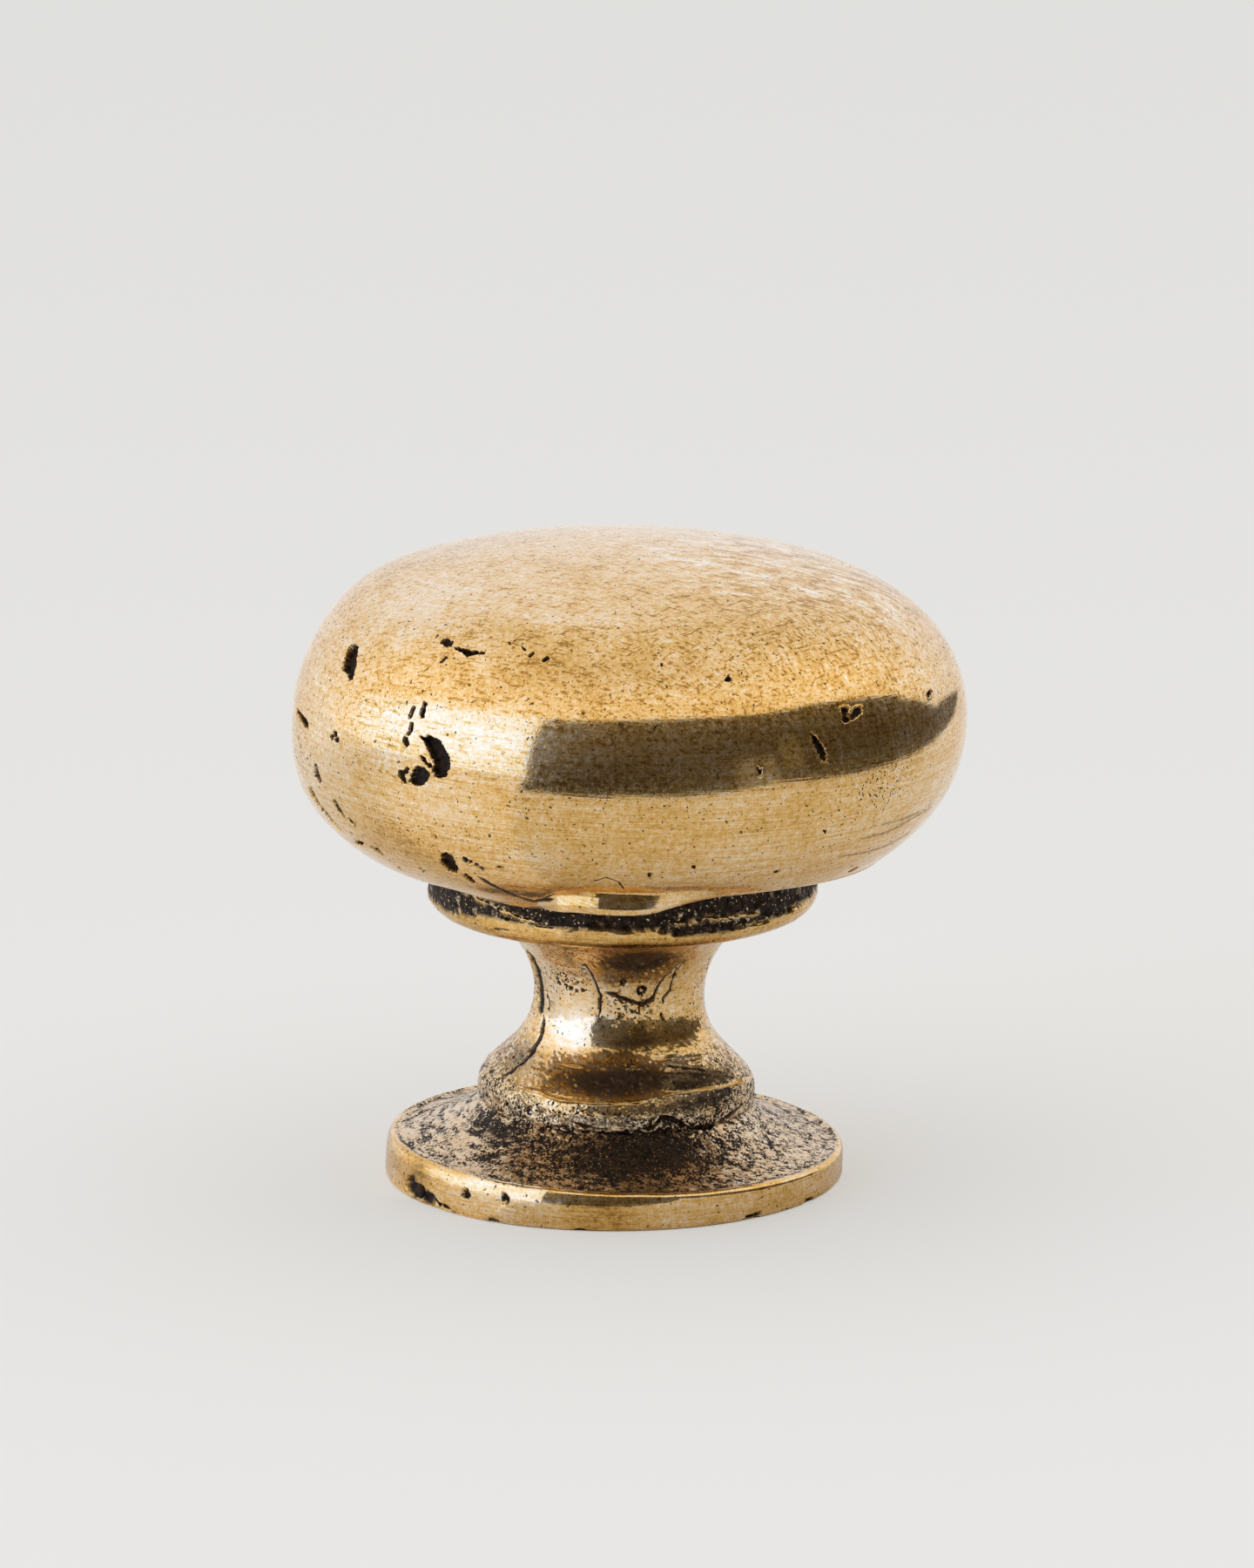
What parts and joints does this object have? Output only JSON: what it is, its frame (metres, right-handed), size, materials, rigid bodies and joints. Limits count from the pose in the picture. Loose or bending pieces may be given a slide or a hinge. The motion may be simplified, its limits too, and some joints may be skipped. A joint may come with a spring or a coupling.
{
  "type": "cabinet knob",
  "caption": "Cast brass cabinet knob with a bun head, collar, waisted neck and disc foot, tapped at the back.",
  "frame": {"origin": "where the axis of the tapped hole meets the back face", "axes": "+Z out of the furniture towards the head, -Y towards the side with the large kidney-shaped pit, +X the way the casting leans"},
  "size_m": [0.0382, 0.0382, 0.0366],
  "materials": {
    "cast_brass": "hand polished yellow casting, brown-black patina in pits, recesses and the rough cast parts"
  },
  "bodies": {
    "root": {"knob": "cast_brass"}
  },
  "joints": []
}
